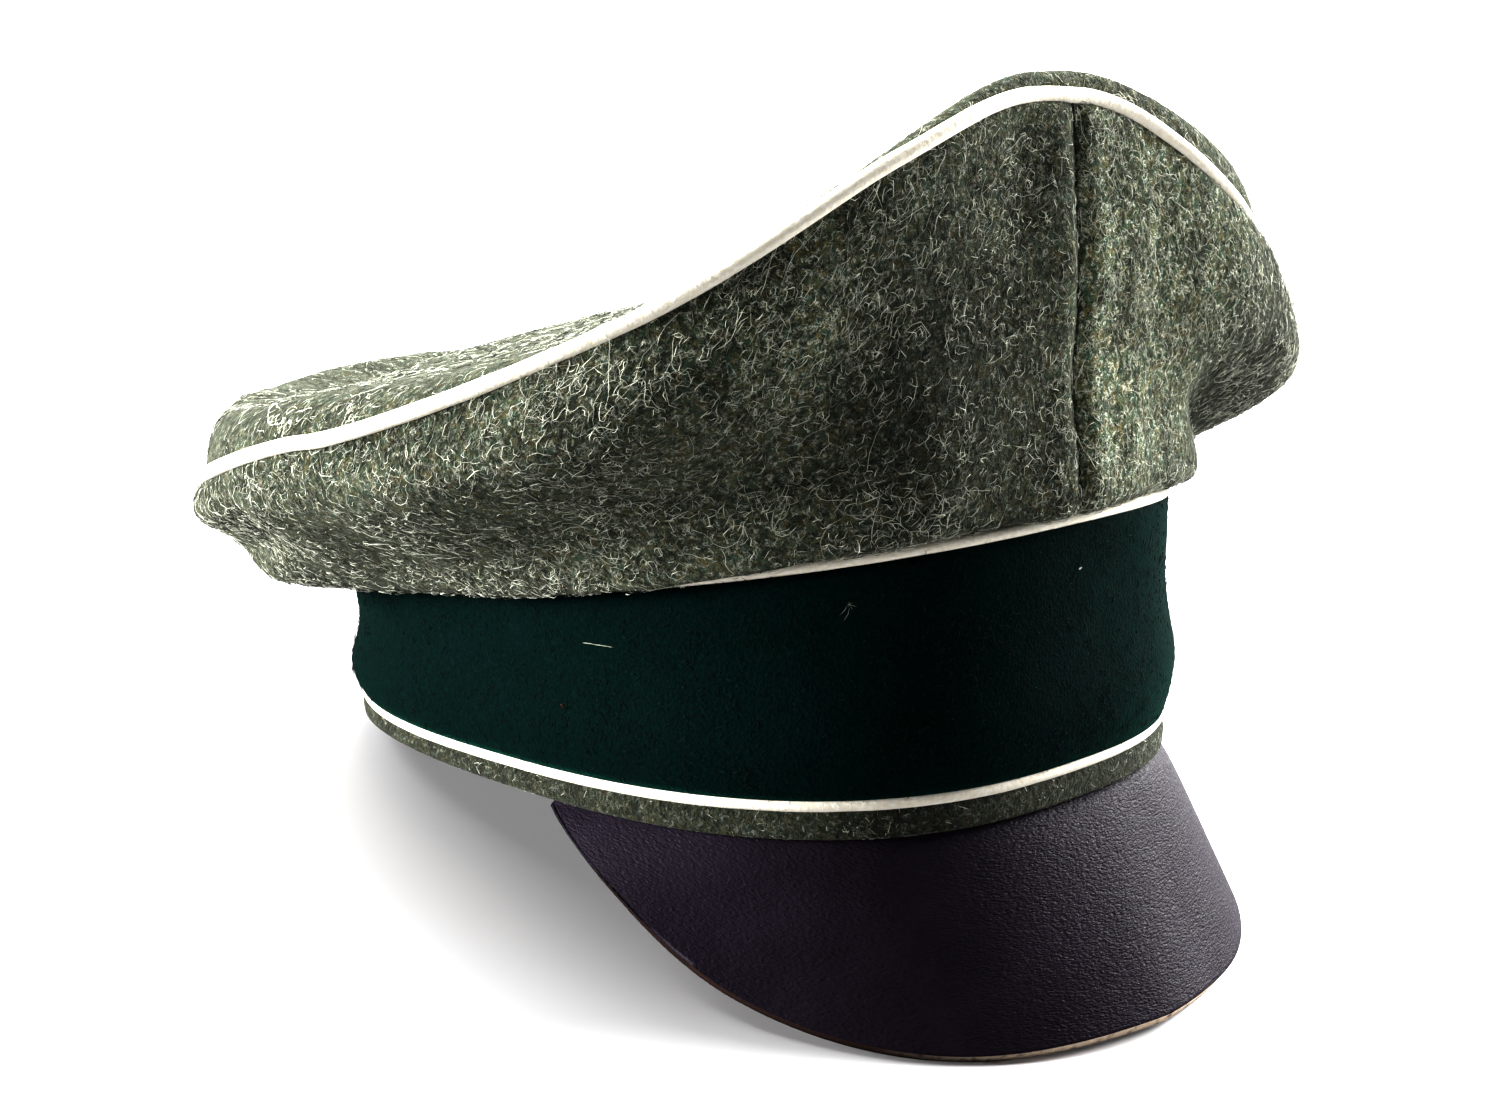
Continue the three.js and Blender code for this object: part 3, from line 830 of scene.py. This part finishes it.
def band_material(colours):
    """Dark napped cloth with a soft sheen and faint lighter hairs."""
    material, tree, shader, spot = new_material("band cloth")
    patches = mottle(tree, spot, 0.08, 1.2)
    nap = mottle(tree, spot, 1.4, 1.4, (3, 19, 7))
    base = add_mix(tree, nap, solid(colours.band), shaded(colours.band, 2.2))
    base = add_mix(tree, multiply(tree, patches, 0.35), base, (0.001, 0.008, 0.009, 1))
    hairs = curly(tree, spot, 0.7, 0.02, 0.42)
    base = add_mix(tree, multiply(tree, hairs, 0.12), base, (0.02, 0.075, 0.065, 1))
    height = add_math(tree, "ADD", nap, multiply(tree, patches, 1.5))
    feed(tree, shader, {
        "Base Color": base, "Normal": add_bump(tree, height, 0.45, 0.0003), "Roughness": 0.9,
        "Specular IOR Level": 0.015, "Sheen Weight": 0.11, "Sheen Roughness": 0.3,
        "Sheen Tint": (0.04, 0.5, 0.36, 1),
    })
    return material


def piping_material(colours):
    """White felt cord with a faint fibrous surface and painted shade, darker and warmer, in its hollows."""
    material, tree, shader, spot = new_material("piping felt")
    felt = mottle(tree, spot, 0.9, 1.0)
    strands = curly(tree, spot, 1.1, 0.06, 0.55)
    # Painted shade: a darker, warmer copy of the cord's colour where the felt's bumps are low.
    warm = [value * part for value, part in zip(colours.piping, (0.88, 0.84, 0.74))]
    height = add_math(tree, "ADD", felt, multiply(tree, strands, 0.5))
    feed(tree, shader, {
        "Base Color": add_mix(tree, felt, solid(warm), solid(colours.piping)),
        "Normal": add_bump(tree, height, 0.5, 0.0003), "Roughness": 0.9,
        "Specular IOR Level": 0.2, "Sheen Weight": 0.2,
    })
    return material


def leather_material(colours, grain):
    """Black finished leather with a fine grain that runs across the peak."""
    material, tree, shader, spot = new_material("peak leather")
    across = add_node(tree, "ShaderNodeMapping", {"Vector": spot, "Scale": (0.42, 0.42, 1.3)})
    across = across.outputs["Vector"]
    size = MILLIMETRE / grain
    grains = add_noise(tree, across, size, Detail=2.0, Roughness=0.6, Distortion=0.6)
    pores = add_node(tree, "ShaderNodeTexVoronoi", {"Vector": across, "Scale": 1.4 * size})
    broad = mottle(tree, spot, 0.07, 1.0)
    height = add_math(tree, "ADD", grains, multiply(tree, pores.outputs["Distance"], -0.4))
    feed(tree, shader, {
        "Base Color": add_mix(tree, broad, solid(colours.leather), shaded(colours.leather, 1.4)),
        "Normal": add_bump(tree, height, 1.0, 0.0003),
        "Roughness": add_range(tree, grains, 0.3, 0.7, 0.3, 0.46), "Specular IOR Level": 0.022,
    })
    return material


def raw_leather_material(name, colour, scale, contrast, painted_shade=None):
    """Unfinished leather: fibrous, matt and uneven in colour, or darkened with painted shade to the
    wearer's right.
    """
    material, tree, shader, spot = new_material(name)
    patches = mottle(tree, spot, scale, contrast)
    base = add_mix(tree, patches, shaded(colour, 0.55), solid(colour))
    if painted_shade:
        # Painted shade: dark at the wearer's right, broken in patches towards the middle.
        across = add_node(tree, "ShaderNodeSeparateXYZ", {"Vector": spot}).outputs["X"]
        unshaded = add_range(tree, across, *EDGE_PAINTED_SHADE_TO)
        unshaded = multiply(tree, unshaded, add_range(tree, patches, 0.1, 0.5))
        base = add_mix(tree, unshaded, painted_shade, base)
    fibre = curly(tree, spot, 1.3, 0.1, 0.6)
    feed(tree, shader, {
        "Base Color": base, "Normal": add_bump(tree, fibre, 0.4, 0.0002), "Roughness": 0.85,
        "Specular IOR Level": 0.1,
    })
    return material


def material_named(name, make, *values):
    """The material of this name, made the first time that it is asked for."""
    for group, build in (("Curly strands", strand_group), ("Soft mottling", mottle_group)):
        if group not in bpy.data.node_groups:
            build()
    return bpy.data.materials.get(name) or make(*values)


def wool(context, piece):
    """The wool, lighter or darker partly where its nap lies another way, with painted light and painted
    shade in round patches.
    """
    name = f"wool melange {piece}"
    return material_named(name, wool_material, name, context.scene.cap_colours, WOOL_NAP_AND_PAINTED_LIGHT[piece])


def wool_fibres(context):
    """Materials of the stray fibres: pale, middle and dark."""
    light = context.scene.cap_colours.wool_light
    names = {"pale fibre": 1.95, "middle fibre": 0.55, "dark fibre": 0.08}
    return [
        material_named(name, fibre_material, name, [value * part for value in light])
        for name, part in names.items()
    ]


def add_nap(context, label, grid, normals):
    """Short curly nap over a wool panel, with a few long pale fibres."""
    sizes = context.scene.cap_sizes
    width = sizes.fibre_width / MILLIMETRE
    length = sizes.fibre_length / MILLIMETRE
    row = NAPS[label]
    count = round(row["part"] * sizes.crown_fibres)
    coarse = row["coarse"]
    nap = {
        **SHORT_NAP, "count": count, "shares": row["shares"],
        "length": coarse * length, "width": coarse * width, "lift": SHORT_NAP["lift"] * coarse ** 2,
    }
    fibres(f"{label}_nap", grid, normals, nap, wool_fibres(context), "wool", row["seed"])
    stray = {
        **STRAYS, "count": count // STRAYS["one_in"],
        "length": STRAYS["length"] * length, "width": STRAYS["width"] * width,
    }
    fibres(f"{label}_fibres", grid, normals, stray, wool_fibres(context)[:1], "wool", row["seed"] + 1)


def seam_angles():
    """Angles from the front seam to the rear seam, closer together at both."""
    part = np.linspace(0, 1, GRID_POINTS["side"][0])
    eased = part - SEAM["crowding"] * np.sin(2 * np.pi * part)
    return SEAM["short"] + (180 - 2 * SEAM["short"]) * eased


def seam_profile(angles, depth):
    """How far the cloth stands out beside its seams: drawn in along them, with a low ridge."""
    away = np.minimum(np.abs(angles), 180 - np.abs(angles)) * MILLIMETRES_PER_DEGREE
    ridge = SEAM["ridge"] * np.exp(-((away - SEAM["ridge_away"]) / SEAM["ridge_width"]) ** 2)
    return -depth * np.exp(-(away / SEAM["half_width"]) ** 2) + ridge


def crown_side_grid(side, seam_depth):
    """Outer grid of one side panel of the crown."""
    angles = seam_angles() * side
    parts = np.linspace(0, 1, GRID_POINTS["side"][1])
    base = band_top(angles)
    edge = crown_point("edge", angles)
    bulge = crown_point("bulge", angles)
    towards = unit(edge - bulge)
    flank = unit(np.cross(towards, np.gradient(edge, axis=0)) * side)
    swell = np.exp(-((angles - LEFT_SWELL["angle"]) / LEFT_SWELL["spread"]) ** 2)
    swell = SHOULDER["out"] + LEFT_SWELL["out"] * swell
    points = [
        place(angles, CROWN_HEM["inside"], base + CROWN_HEM["inside_rise"]),
        place(angles, CROWN_HEM["outside"], base + CROWN_HEM["outside_rise"]),
        crown_point("roll", angles),
        crown_point("waist", angles),
        bulge,
        edge - towards * SHOULDER["back"] + flank * swell[:, None],
        edge - towards * CROWN_PIPING["radius"] * CROWN_PIPING["side_tuck"],
    ]
    grid = smooth_path(points, parts)
    depth = fold_depth(angles[:, None], parts[None]) * np.sin(np.pi * parts)[None] ** 0.5
    seam = seam_profile(angles, seam_depth)
    depth = depth + seam[:, None] * np.sin(np.pi * np.clip(parts * 1.02, 0, 1))[None] ** 0.3
    grid[..., :2] += head_normal(angles)[:, None] * depth[..., None]
    lean = SEAM_LEAN["foot"] * np.exp(-(angles[:, None] / SEAM_LEAN["spread"]) ** 2)
    grid[..., 0] -= lean * (1 - parts[None])
    normals = grid_normals(grid, False) * side
    fade = np.clip(np.minimum(parts, 1 - parts) * LUMPS["side"]["sets_in"], 0, 1)
    return cloth_lumps(grid, normals, fade, LUMPS["side"]["seed"])


class CAP_OT_crown_sides(bpy.types.Operator):
    """Makes the crown's two wool side panels, sewn at the front and the back."""
    bl_idname = "cap.crown_sides"
    bl_label = "Crown sides"

    def execute(self, context):
        sizes = context.scene.cap_sizes
        for label, side in (("right", 1), ("left", -1)):
            grid = crown_side_grid(side, sizes.seam_depth / MILLIMETRE)
            normals = grid_normals(grid, False) * side
            cloth = wool(context, f"{label} panel")
            piece = wall(f"side_panel_{label}", grid, grid - normals * CLOTH_THICKNESS, False, [cloth])
            finish_piece(piece, "wool", f"crown_side_{label}")
            add_nap(context, f"side_{label}", grid, normals)
        return {"FINISHED"}


def top_panel_grid():
    """Outer grid of the top panel, from the crown piping to the middle."""
    angles = round_head("top")
    steps = GRID_POINTS["top"][1]
    parts = (np.arange(steps + 1) / steps) ** TOP_PANEL["crowding"]
    rim = crown_point("edge", angles)
    start = (CROWN_PIPING["radius"] * CROWN_PIPING["top_tuck"] / np.hypot(rim[:, 0], rim[:, 1]))[:, None]
    part = start + (1 - start) * parts[None]
    rest = 1 - part
    tilt = (TOP_PANEL["slope"] * (TOP_PANEL["middle_back"] - rim[:, 1]))[:, None]
    bend = rim[:, 2:3] - TOP_PANEL["middle_rise"] - tilt
    inward = (part - start) / TOP_PANEL["crest"]
    puff = crown_value(lambda row: row["puff"], angles)[:, None]
    swell = puff * rest * inward * np.exp(1 - inward)
    height = TOP_PANEL["middle_rise"] + tilt * rest + bend * rest ** 2 + swell
    near = inward / SHOULDER["spot"]
    overhang = SHOULDER["overhang"] * puff * near * np.exp(1 - near)
    away = rim[:, :2] / np.hypot(rim[:, 0], rim[:, 1])[:, None]
    x = rim[:, 0:1] * rest + away[:, 0:1] * overhang
    y = rim[:, 1:2] * rest + away[:, 1:2] * overhang + TOP_PANEL["middle_back"] * part
    return np.stack([x, y, height], axis=-1), parts


class CAP_OT_crown_top(bpy.types.Operator):
    """Makes the crown's swelling wool top panel."""
    bl_idname = "cap.crown_top"
    bl_label = "Crown top"

    def execute(self, context):
        grid, parts = top_panel_grid()
        normals = grid_normals(grid, True)
        normals[:, -1] = (0, 0, 1)
        fade = np.clip(parts * LUMPS["top"]["sets_in"], 0, 1)
        grid = cloth_lumps(grid, normals, fade, LUMPS["top"]["seed"])
        grid[:, -1] = grid[:, -1].mean(axis=0)
        normals = grid_normals(grid, True)
        normals[:, -1] = (0, 0, 1)
        cloth = wool(context, "top panel")
        piece = wall("top_panel", grid, grid - normals * CLOTH_THICKNESS, True, [cloth])
        finish_piece(piece, "wool", "crown_top")
        add_nap(context, "top", grid, normals)
        pale = wool_fibres(context)[:1]
        for number, look in enumerate(TUFT):
            seed = FIBRE_SEEDS["top_tuft"] + number
            fibres(f"top_tuft_{number + 1}", grid, normals, look, pale, "wool", seed)
        return {"FINISHED"}


def uneven_radius(path, radius, seed):
    """A cord's radius, a little uneven along it."""
    shift = Vector((seed, 0, 0))
    part, size = CORD_LUMPS["part"], CORD_LUMPS["size"]
    return np.array([radius * (1 + part * noise.noise(Vector(point) / size + shift)) for point in path])


class CAP_OT_piping(bpy.types.Operator):
    """Makes the three white piping cords."""
    bl_idname = "cap.piping"
    bl_label = "Piping"

    def execute(self, context):
        felt = material_named("piping felt", piping_material, context.scene.cap_colours)
        angles = round_head("cord")
        sides = GRID_POINTS["cord"][1]
        upper = place(angles, UPPER_PIPING["out"], band_top(angles))
        paths = {
            "crown_piping": (crown_point("edge", angles), CROWN_PIPING["radius"]),
            "band_top_piping": (upper, UPPER_PIPING["radius"]),
            "band_bottom_piping": (place(angles, LOWER_PIPING["out"], 0.0), LOWER_PIPING["radius"]),
        }
        for seed, (node, (path, radius)) in enumerate(paths.items()):
            radii = uneven_radius(path, radius, seed)
            piece = cord(node.replace("piping", "cord"), path, radii, sides, felt)
            finish_piece(piece, "piping", node)
        return {"FINISHED"}


def band_grid(parts):
    """Outer grid of the band at each part of its height."""
    angles = round_head("band")
    low = LOWER_PIPING["radius"] * TUCKED_UNDER_CORD
    high = band_top(angles) - UPPER_PIPING["radius"] * TUCKED_UNDER_CORD
    height = low + (high - low)[:, None] * parts[None]
    return place(angles[:, None], interpolate(BAND_PROFILE, "out", parts)[None], height)


class CAP_OT_band(bpy.types.Operator):
    """Makes the dark cloth band."""
    bl_idname = "cap.band"
    bl_label = "Band"

    def execute(self, context):
        colours = context.scene.cap_colours
        cloth = material_named("band cloth", band_material, colours)
        parts = np.linspace(0, 1, GRID_POINTS["band"][1])
        grid = band_grid(parts)
        normals = grid_normals(grid, True)
        fade = 0.5 * np.clip(np.minimum(parts, 1 - parts) * LUMPS["band"]["sets_in"], 0, 1)
        grid = cloth_lumps(grid, normals, fade, LUMPS["band"]["seed"])
        piece = wall("band_cloth", grid, grid - normals * BAND["thick"], True, [cloth])
        finish_piece(piece, "band_cloth", "band")
        nap = [
            material_named(name, fibre_material, name, [value * part for value in colours.band])
            for name, part in (("band nap", 2.2), ("band nap light", 4.0), ("band nap dark", 0.5))
        ]
        fibres("band_nap", grid, normals, BAND_NAP, nap, "band_cloth", FIBRE_SEEDS["band_nap"])
        for number, look in enumerate(LINT):
            name = f"band lint {number + 1}"
            thread = material_named(name, fibre_material, name, look["colour"])
            seed = FIBRE_SEEDS["band_lint"] + number
            fibres(f"band_lint_{number + 1}", grid, normals, look, [thread], "band_cloth", seed)
        return {"FINISHED"}


class CAP_OT_rim_strip(bpy.types.Operator):
    """Makes the narrow wool strip under the lower piping."""
    bl_idname = "cap.rim_strip"
    bl_label = "Rim strip"

    def execute(self, context):
        angles = round_head("rim")
        top = -LOWER_PIPING["radius"] * TUCKED_UNDER_CORD
        rounding = RIM_STRIP["roundness"]
        turns = np.radians(np.linspace(0, 90, GRID_POINTS["rim"][1]))
        outs = [*(row["out"] for row in RIM_FACE), *(rounding * (np.cos(turns) - 1))]
        across = (np.abs(angles) - RIM_STRIP["side_angle"]) / RIM_STRIP["side_spread"]
        bottom = -RIM_STRIP["height"] + RIM_STRIP["side_rise"] * np.exp(-across * across)
        drop = top - bottom
        rises = [top - row["part"] * drop for row in RIM_FACE]
        rises += [bottom + rounding * (1 - math.sin(turn)) for turn in turns]
        heights = np.stack(rises, axis=1)
        grid = place(angles[:, None], np.array(outs)[None], heights)
        normals = grid_normals(grid, True)
        inner = place(angles[:, None], -RIM_STRIP["thick"], heights)
        piece = wall("rim_wool", grid, inner, True, [wool(context, "rim strip")])
        finish_piece(piece, "wool", "rim_strip")
        face = slice(0, GRID_POINTS["rim"][1] + 1)
        add_nap(context, "rim", grid[:, face], normals[:, face])
        return {"FINISHED"}


def peak_grid():
    """Upper grid of the peak, from its right corner to its left one."""
    part = np.linspace(-1, 1, GRID_POINTS["peak"][0])
    angles = part * PEAK["half_angle"]
    length = interpolate(PEAK_ROWS, "length", np.abs(part))
    slope = np.radians(interpolate(PEAK_ROWS, "slope", np.abs(part)))
    normal = head_normal(angles)
    heading = np.arctan2(-normal[:, 0], -normal[:, 1]) * PEAK["fan"]
    level = np.cos(slope)
    outward = np.stack([-np.sin(heading) * level, -np.cos(heading) * level, -np.sin(slope)], axis=-1)
    rim = -RIM_STRIP["height"]
    root = place(angles, 0.0, rim - GAP)
    rises = (PEAK["tuck"], PEAK["tuck_foot"])
    tucked = [place(angles, -RIM_STRIP["thick"] - GAP, rim + rise) for rise in rises]
    steps = np.linspace(0, 1, GRID_POINTS["peak"][1]) ** PEAK["crowding"]
    far = length[:, None] * steps[None]
    sunk = np.exp(-far / PEAK_ROOT["reach"])[..., None]
    lift = np.full((len(angles), 1), PEAK_ROOT["up"])
    inwards = np.concatenate([-normal * PEAK_ROOT["in"], lift], axis=1)
    sloping = root[:, None] + outward[:, None] * far[..., None] + inwards[:, None] * sunk
    flute = PEAK_FLUTE["depth"] * np.exp(-(((part - PEAK_FLUTE["part"]) / PEAK_FLUTE["spread"]) ** 2))
    deep = np.clip(far / PEAK_FLUTE["fades_in"], 0, 1) * flute[:, None]
    back = -unit(np.cross(np.gradient(root, axis=0), outward))
    sloping = sloping + back[:, None] * deep[..., None] * np.sign(back[len(back) // 2, 1])
    return np.concatenate([np.stack(tucked, axis=1), sloping], axis=1), outward


class CAP_OT_peak(bpy.types.Operator):
    """Makes the leather peak with its raw edge."""
    bl_idname = "cap.peak"
    bl_label = "Peak"

    def execute(self, context):
        colours = context.scene.cap_colours
        grain = context.scene.cap_sizes.grain_size
        # Painted shade for the edge at the wearer's right: a darker copy of the underside's colour.
        painted_shade = shaded(colours.leather_back, 0.6)
        leather = material_named("peak leather", leather_material, colours, grain)
        back, edge = (
            material_named(name, raw_leather_material, name, *values) for name, values in (
                ("peak underside", (colours.leather_back, 0.25, 1.2)),
                ("peak edge", (colours.leather_edge, 0.5, 0.5, painted_shade)),
            )
        )
        grid, outward = peak_grid()
        lower = grid + grid_normals(grid, False) * PEAK["thick"]
        grid[:, -1] -= outward * PEAK["bevel"]
        piece = wall("peak_leather", grid, lower, False, [leather, back, edge])
        finish_piece(piece, "peak_leather", "peak")
        return {"FINISHED"}


def turned(degrees):
    return Euler([math.radians(turn) for turn in degrees])


def make_floor(scene):
    """A wide floor that is bright to look at and throws back less light."""
    mesh = bpy.data.meshes.new("floor")
    reach = STUDIO["floor_reach"]
    corners = [(-reach, -reach, 0), (reach, -reach, 0), (reach, reach, 0), (-reach, reach, 0)]
    mesh.from_pydata(corners, [], [(0, 1, 2, 3)])
    floor = link_object("floor", mesh)
    paint, tree, shader, _ = new_material("floor paint")
    seen = add_node(tree, "ShaderNodeLightPath").outputs["Is Camera Ray"]
    colour = scene.cap_colours.floor
    base = add_mix(tree, seen, shaded(colour, STUDIO["floor_bounce"]), solid(colour))
    feed(tree, shader, {"Base Color": base, "Roughness": 0.8, "Specular IOR Level": 0.1})
    mesh.materials.append(paint)
    return floor


def make_light(row, floor):
    """A soft light turned to the cap, kept off the floor where its row says so."""
    data = bpy.data.lights.new(row["name"], "AREA")
    data.shape = "RECTANGLE"
    data.size, data.size_y = row["size"]
    data.energy = row["power"]
    light = link_object(row["name"], data)
    light.location = row["place"]
    aim = Vector(LIGHT_TARGET) - light.location
    light.rotation_euler = aim.to_track_quat("-Z", "Y").to_euler()
    if not row["reaches_floor"]:
        shaded_things = bpy.data.collections.new("kept out of " + row["name"])
        shaded_things.objects.link(floor)
        shaded_things.collection_objects[0].light_linking.link_state = "EXCLUDE"
        light.light_linking.receiver_collection = shaded_things


class CAP_OT_stage(bpy.types.Operator):
    """Makes the floor, the soft lights, the white surroundings and the camera."""
    bl_idname = "cap.stage"
    bl_label = "Stage"

    def execute(self, context):
        scene = context.scene
        scene.view_settings.view_transform = "Standard"
        scene.view_settings.gamma = STUDIO["gamma"]
        floor = make_floor(scene)
        world = bpy.data.worlds.new("studio")
        world.use_nodes = True
        scene.world = world
        tree = world.node_tree
        seen = add_node(tree, "ShaderNodeLightPath").outputs["Is Camera Ray"]
        strength = add_range(tree, seen, 0.0, 1.0, STUDIO["fill"], 1.0)
        feed(tree, tree.nodes["Background"], {"Color": (1, 1, 1, 1), "Strength": strength})
        for row in LIGHTS:
            make_light(row, floor)
        overhead = bpy.data.lights.new("light_overhead", "SUN")
        overhead.energy = STUDIO["overhead"]
        overhead.angle = math.radians(STUDIO["spread"])
        link_object("light_overhead", overhead).rotation_euler = turned(STUDIO["overhead_turn"])
        lens = bpy.data.cameras.new("camera")
        lens.lens = CAMERA["lens"]
        lens.clip_end = CAMERA["reach"]
        camera = link_object("camera", lens)
        camera.location = CAMERA["place"]
        camera.rotation_euler = turned(CAMERA["turn"])
        scene.camera = camera
        return {"FINISHED"}


class CAP_PT_panel(bpy.types.Panel):
    """Lists the cap's sizes, colours and pieces."""
    bl_label = "Peaked cap"
    bl_idname = "CAP_PT_panel"
    bl_space_type = "VIEW_3D"
    bl_region_type = "UI"
    bl_category = "Cap"

    def draw(self, context):
        for group in (context.scene.cap_sizes, context.scene.cap_colours):
            box = self.layout.box()
            for name in group.__annotations__:
                box.prop(group, name)
        for operator in OPERATORS:
            self.layout.operator(operator.bl_idname)


OPERATORS = (
    CAP_OT_stage,
    CAP_OT_crown_sides,
    CAP_OT_crown_top,
    CAP_OT_piping,
    CAP_OT_band,
    CAP_OT_rim_strip,
    CAP_OT_peak,
)
CLASSES = (CapSizes, CapColours, *OPERATORS, CAP_PT_panel)


def register():
    for kind in CLASSES:
        bpy.utils.register_class(kind)
    bpy.types.Scene.cap_sizes = PointerProperty(type=CapSizes)
    bpy.types.Scene.cap_colours = PointerProperty(type=CapColours)


def unregister():
    del bpy.types.Scene.cap_colours
    del bpy.types.Scene.cap_sizes
    for kind in reversed(CLASSES):
        bpy.utils.unregister_class(kind)


def main():
    register()
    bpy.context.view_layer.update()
    bpy.ops.cap.stage()
    bpy.ops.cap.crown_sides()
    bpy.ops.cap.crown_top()
    bpy.ops.cap.piping()
    bpy.ops.cap.band()
    bpy.ops.cap.rim_strip()
    bpy.ops.cap.peak()


if __name__ == "__main__":
    main()
